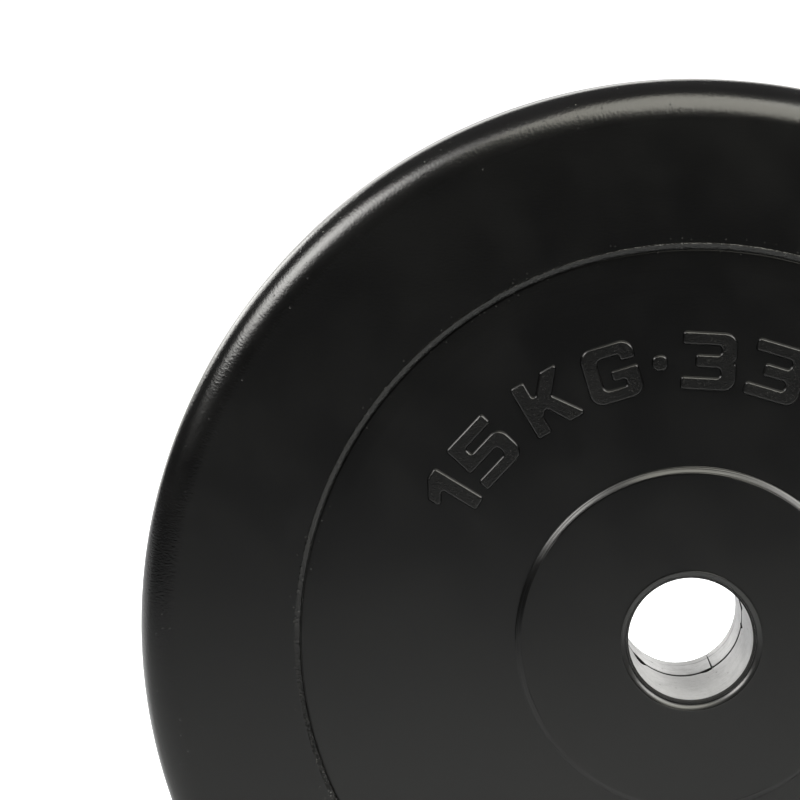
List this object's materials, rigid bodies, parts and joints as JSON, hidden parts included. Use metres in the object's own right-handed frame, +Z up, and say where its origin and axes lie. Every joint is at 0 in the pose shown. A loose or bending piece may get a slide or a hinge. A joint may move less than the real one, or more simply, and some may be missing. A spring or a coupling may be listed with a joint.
{
  "type": "weight plate",
  "caption": "Round black rubber weight plate with recessed webs, raised hub faces and a steel lined bore that slides on a barbell sleeve.",
  "frame": {"origin": "centre of the bore at half thickness", "axes": "+Y along the bore, front face towards -Y, +Z up with the plate standing on its rim"},
  "size_m": [0.45, 0.072, 0.45],
  "materials": {
    "black_rubber": "satin moulded",
    "zinc_steel": "bright zinc plated, scuffed",
    "anchor_steel": "plain mill scale"
  },
  "bodies": {
    "root": {"rubber_body": "black_rubber", "front_sleeve": "zinc_steel", "rear_sleeve": "zinc_steel", "anchor_plate": "anchor_steel"}
  },
  "joints": []
}
